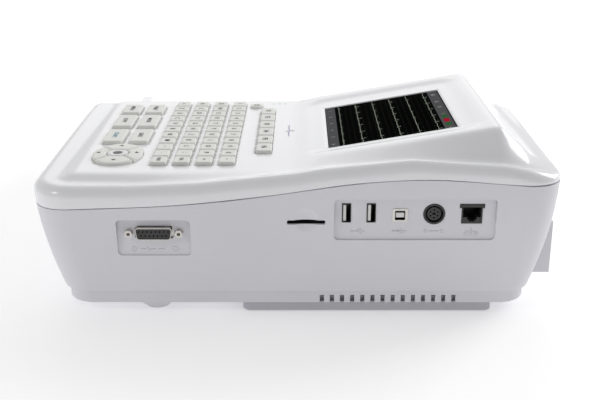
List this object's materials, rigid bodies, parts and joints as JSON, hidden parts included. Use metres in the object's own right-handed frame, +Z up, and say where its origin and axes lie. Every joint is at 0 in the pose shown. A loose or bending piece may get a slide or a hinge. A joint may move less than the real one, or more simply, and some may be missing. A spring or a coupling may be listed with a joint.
{
  "type": "desktop ecg recorder",
  "caption": "Desktop ECG recorder with a keyboard, tilted display, side sockets and a paper recorder under a hinged door.",
  "frame": {"origin": "on the resting surface, below the middle of the case", "axes": "+X to the operator's right, +Y to the back of the case, +Z up"},
  "size_m": [0.4206, 0.3571, 0.1252],
  "materials": {
    "cover_white": "smooth gloss",
    "case_lilac": "fine satin",
    "case_grey": "satin",
    "foot_rubber": "matte",
    "window": "clear gloss",
    "display_black": "gloss",
    "mat_rubber": "matte",
    "board_green": "solder mask",
    "battery_wrap": "shrink wrap",
    "plated_metal": "bright nickel plate",
    "socket_black": "satin",
    "tongue_white": "satin",
    "contact_brass": "bright",
    "tray_grey": "satin",
    "head_aluminium": "satin",
    "platen_rubber": "ground matte",
    "shaft_steel": "ground",
    "gear_plastic": "acetal",
    "lamp_green": "clear",
    "key_ivory": "fine satin"
  },
  "bodies": {
    "case": {"battery_pack": "battery_wrap", "card_socket": "socket_black", "case_screws": "shaft_steel", "din_port": "socket_black", "drive_motor": "shaft_steel", "earth_stud": "contact_brass", "feet": "foot_rubber", "fuse_holders": "socket_black", "hinge_pins": "shaft_steel", "inlet_pins": "contact_brass", "jack_screws": "plated_metal", "key_board": "board_green", "key_mat": "mat_rubber", "lan_port": "socket_black", "lcd_module": "display_black", "lcd_window": "window", "lower_case": "case_lilac", "main_board": "board_green", "mains_inlet": "socket_black", "patient_board": "board_green", "patient_insert": "socket_black", "patient_shell": "plated_metal", "power_supply": "board_green", "recorder_tray": "tray_grey", "service_cover": "case_grey", "status_lamps": "lamp_green", "thermal_head": "head_aluminium", "top_cover": "cover_white", "usb_shells": "plated_metal", "usb_tongues": "tongue_white"},
    "letter_keys_1": {"letter_keys_row_1": "key_ivory"},
    "letter_keys_2": {"letter_keys_row_2": "key_ivory"},
    "letter_keys_3": {"letter_keys_row_3": "key_ivory"},
    "letter_keys_4": {"letter_keys_row_4": "key_ivory"},
    "soft_1": {"soft_key_1": "key_ivory"},
    "soft_2": {"soft_key_2": "key_ivory"},
    "soft_3": {"soft_key_3": "key_ivory"},
    "soft_4": {"soft_key_4": "key_ivory"},
    "soft_5": {"soft_key_5": "key_ivory"},
    "soft_6": {"soft_key_6": "key_ivory"},
    "function_1": {"function_key_1": "key_ivory"},
    "function_2": {"function_key_2": "key_ivory"},
    "function_3": {"function_key_3": "key_ivory"},
    "function_4": {"function_key_4": "key_ivory"},
    "function_5": {"function_key_5": "key_ivory"},
    "function_6": {"function_key_6": "key_ivory"},
    "pad_near": {"pad_key_near": "key_ivory"},
    "pad_back": {"pad_key_back": "key_ivory"},
    "pad_far": {"pad_key_far": "key_ivory"},
    "pad_front": {"pad_key_front": "key_ivory"},
    "enter": {"enter_key": "key_ivory"},
    "power": {"power_key": "key_ivory"},
    "rocker": {"mains_rocker": "socket_black"},
    "door": {"recorder_door": "cover_white"},
    "latch": {"door_latch": "cover_white"},
    "platen": {"platen_roller": "platen_rubber", "platen_shaft": "shaft_steel", "platen_gear": "gear_plastic"},
    "idler": {"idler_gear": "gear_plastic"},
    "pinion": {"motor_pinion": "contact_brass"}
  },
  "joints": [
    {"name": "letter_keys_1_press", "type": "slide", "parent": "case", "child": "letter_keys_1", "axis": [0, 0, -1], "range_m": [0, 0.0012], "stiffness_N_per_m": 3000},
    {"name": "letter_keys_2_press", "type": "slide", "parent": "case", "child": "letter_keys_2", "axis": [0, 0, -1], "range_m": [0, 0.0012], "stiffness_N_per_m": 3000},
    {"name": "letter_keys_3_press", "type": "slide", "parent": "case", "child": "letter_keys_3", "axis": [0, 0, -1], "range_m": [0, 0.0012], "stiffness_N_per_m": 3000},
    {"name": "letter_keys_4_press", "type": "slide", "parent": "case", "child": "letter_keys_4", "axis": [0, 0, -1], "range_m": [0, 0.0012], "stiffness_N_per_m": 3000},
    {"name": "soft_1_press", "type": "slide", "parent": "case", "child": "soft_1", "axis": [0, 0, -1], "range_m": [0, 0.0012], "stiffness_N_per_m": 600},
    {"name": "soft_2_press", "type": "slide", "parent": "case", "child": "soft_2", "axis": [0, 0, -1], "range_m": [0, 0.0012], "stiffness_N_per_m": 600},
    {"name": "soft_3_press", "type": "slide", "parent": "case", "child": "soft_3", "axis": [0, 0, -1], "range_m": [0, 0.0012], "stiffness_N_per_m": 600},
    {"name": "soft_4_press", "type": "slide", "parent": "case", "child": "soft_4", "axis": [0, 0, -1], "range_m": [0, 0.0012], "stiffness_N_per_m": 600},
    {"name": "soft_5_press", "type": "slide", "parent": "case", "child": "soft_5", "axis": [0, 0, -1], "range_m": [0, 0.0012], "stiffness_N_per_m": 600},
    {"name": "soft_6_press", "type": "slide", "parent": "case", "child": "soft_6", "axis": [0, 0, -1], "range_m": [0, 0.0012], "stiffness_N_per_m": 600},
    {"name": "function_1_press", "type": "slide", "parent": "case", "child": "function_1", "axis": [0, 0, -1], "range_m": [0, 0.0012], "stiffness_N_per_m": 600},
    {"name": "function_2_press", "type": "slide", "parent": "case", "child": "function_2", "axis": [0, 0, -1], "range_m": [0, 0.0012], "stiffness_N_per_m": 600},
    {"name": "function_3_press", "type": "slide", "parent": "case", "child": "function_3", "axis": [0, 0, -1], "range_m": [0, 0.0012], "stiffness_N_per_m": 600},
    {"name": "function_4_press", "type": "slide", "parent": "case", "child": "function_4", "axis": [0, 0, -1], "range_m": [0, 0.0012], "stiffness_N_per_m": 600},
    {"name": "function_5_press", "type": "slide", "parent": "case", "child": "function_5", "axis": [0, 0, -1], "range_m": [0, 0.0012], "stiffness_N_per_m": 600},
    {"name": "function_6_press", "type": "slide", "parent": "case", "child": "function_6", "axis": [0, 0, -1], "range_m": [0, 0.0012], "stiffness_N_per_m": 600},
    {"name": "pad_near_press", "type": "slide", "parent": "case", "child": "pad_near", "axis": [0, 0, -1], "range_m": [0, 0.0012], "stiffness_N_per_m": 600},
    {"name": "pad_back_press", "type": "slide", "parent": "case", "child": "pad_back", "axis": [0, 0, -1], "range_m": [0, 0.0012], "stiffness_N_per_m": 600},
    {"name": "pad_far_press", "type": "slide", "parent": "case", "child": "pad_far", "axis": [0, 0, -1], "range_m": [0, 0.0012], "stiffness_N_per_m": 600},
    {"name": "pad_front_press", "type": "slide", "parent": "case", "child": "pad_front", "axis": [0, 0, -1], "range_m": [0, 0.0012], "stiffness_N_per_m": 600},
    {"name": "enter_press", "type": "slide", "parent": "case", "child": "enter", "axis": [0, 0, -1], "range_m": [0, 0.0012], "stiffness_N_per_m": 600},
    {"name": "power_press", "type": "slide", "parent": "case", "child": "power", "axis": [0, 0, -1], "range_m": [0, 0.0012], "stiffness_N_per_m": 600},
    {"name": "rocker_tip", "type": "hinge", "parent": "case", "child": "rocker", "pos_m": [0.123, 0.1735, 0.041], "axis": [1, 0, 0], "range_deg": [-22, 0]},
    {"name": "door_open", "type": "hinge", "parent": "case", "child": "door", "pos_m": [-0.021, 0, 0.0885], "axis": [0, 1, 0], "range_deg": [0, 75]},
    {"name": "latch_slide", "type": "slide", "parent": "case", "child": "latch", "axis": [0, -1, 0], "range_m": [0, 0.003], "stiffness_N_per_m": 400},
    {"name": "platen_spin", "type": "hinge", "parent": "door", "child": "platen", "pos_m": [-0.188, 0, 0.037], "axis": [0, 1, 0], "continuous": true},
    {"name": "idler_spin", "type": "hinge", "parent": "case", "child": "idler", "pos_m": [-0.18, 0, 0.02314], "axis": [0, 1, 0], "continuous": true},
    {"name": "pinion_spin", "type": "hinge", "parent": "case", "child": "pinion", "pos_m": [-0.1723, 0, 0.03337], "axis": [0, 1, 0], "continuous": true}
  ],
  "couplings": [
    {"joint": "idler_spin", "follows": "platen_spin", "ratio": -1},
    {"joint": "pinion_spin", "follows": "platen_spin", "ratio": 1.6667}
  ]
}
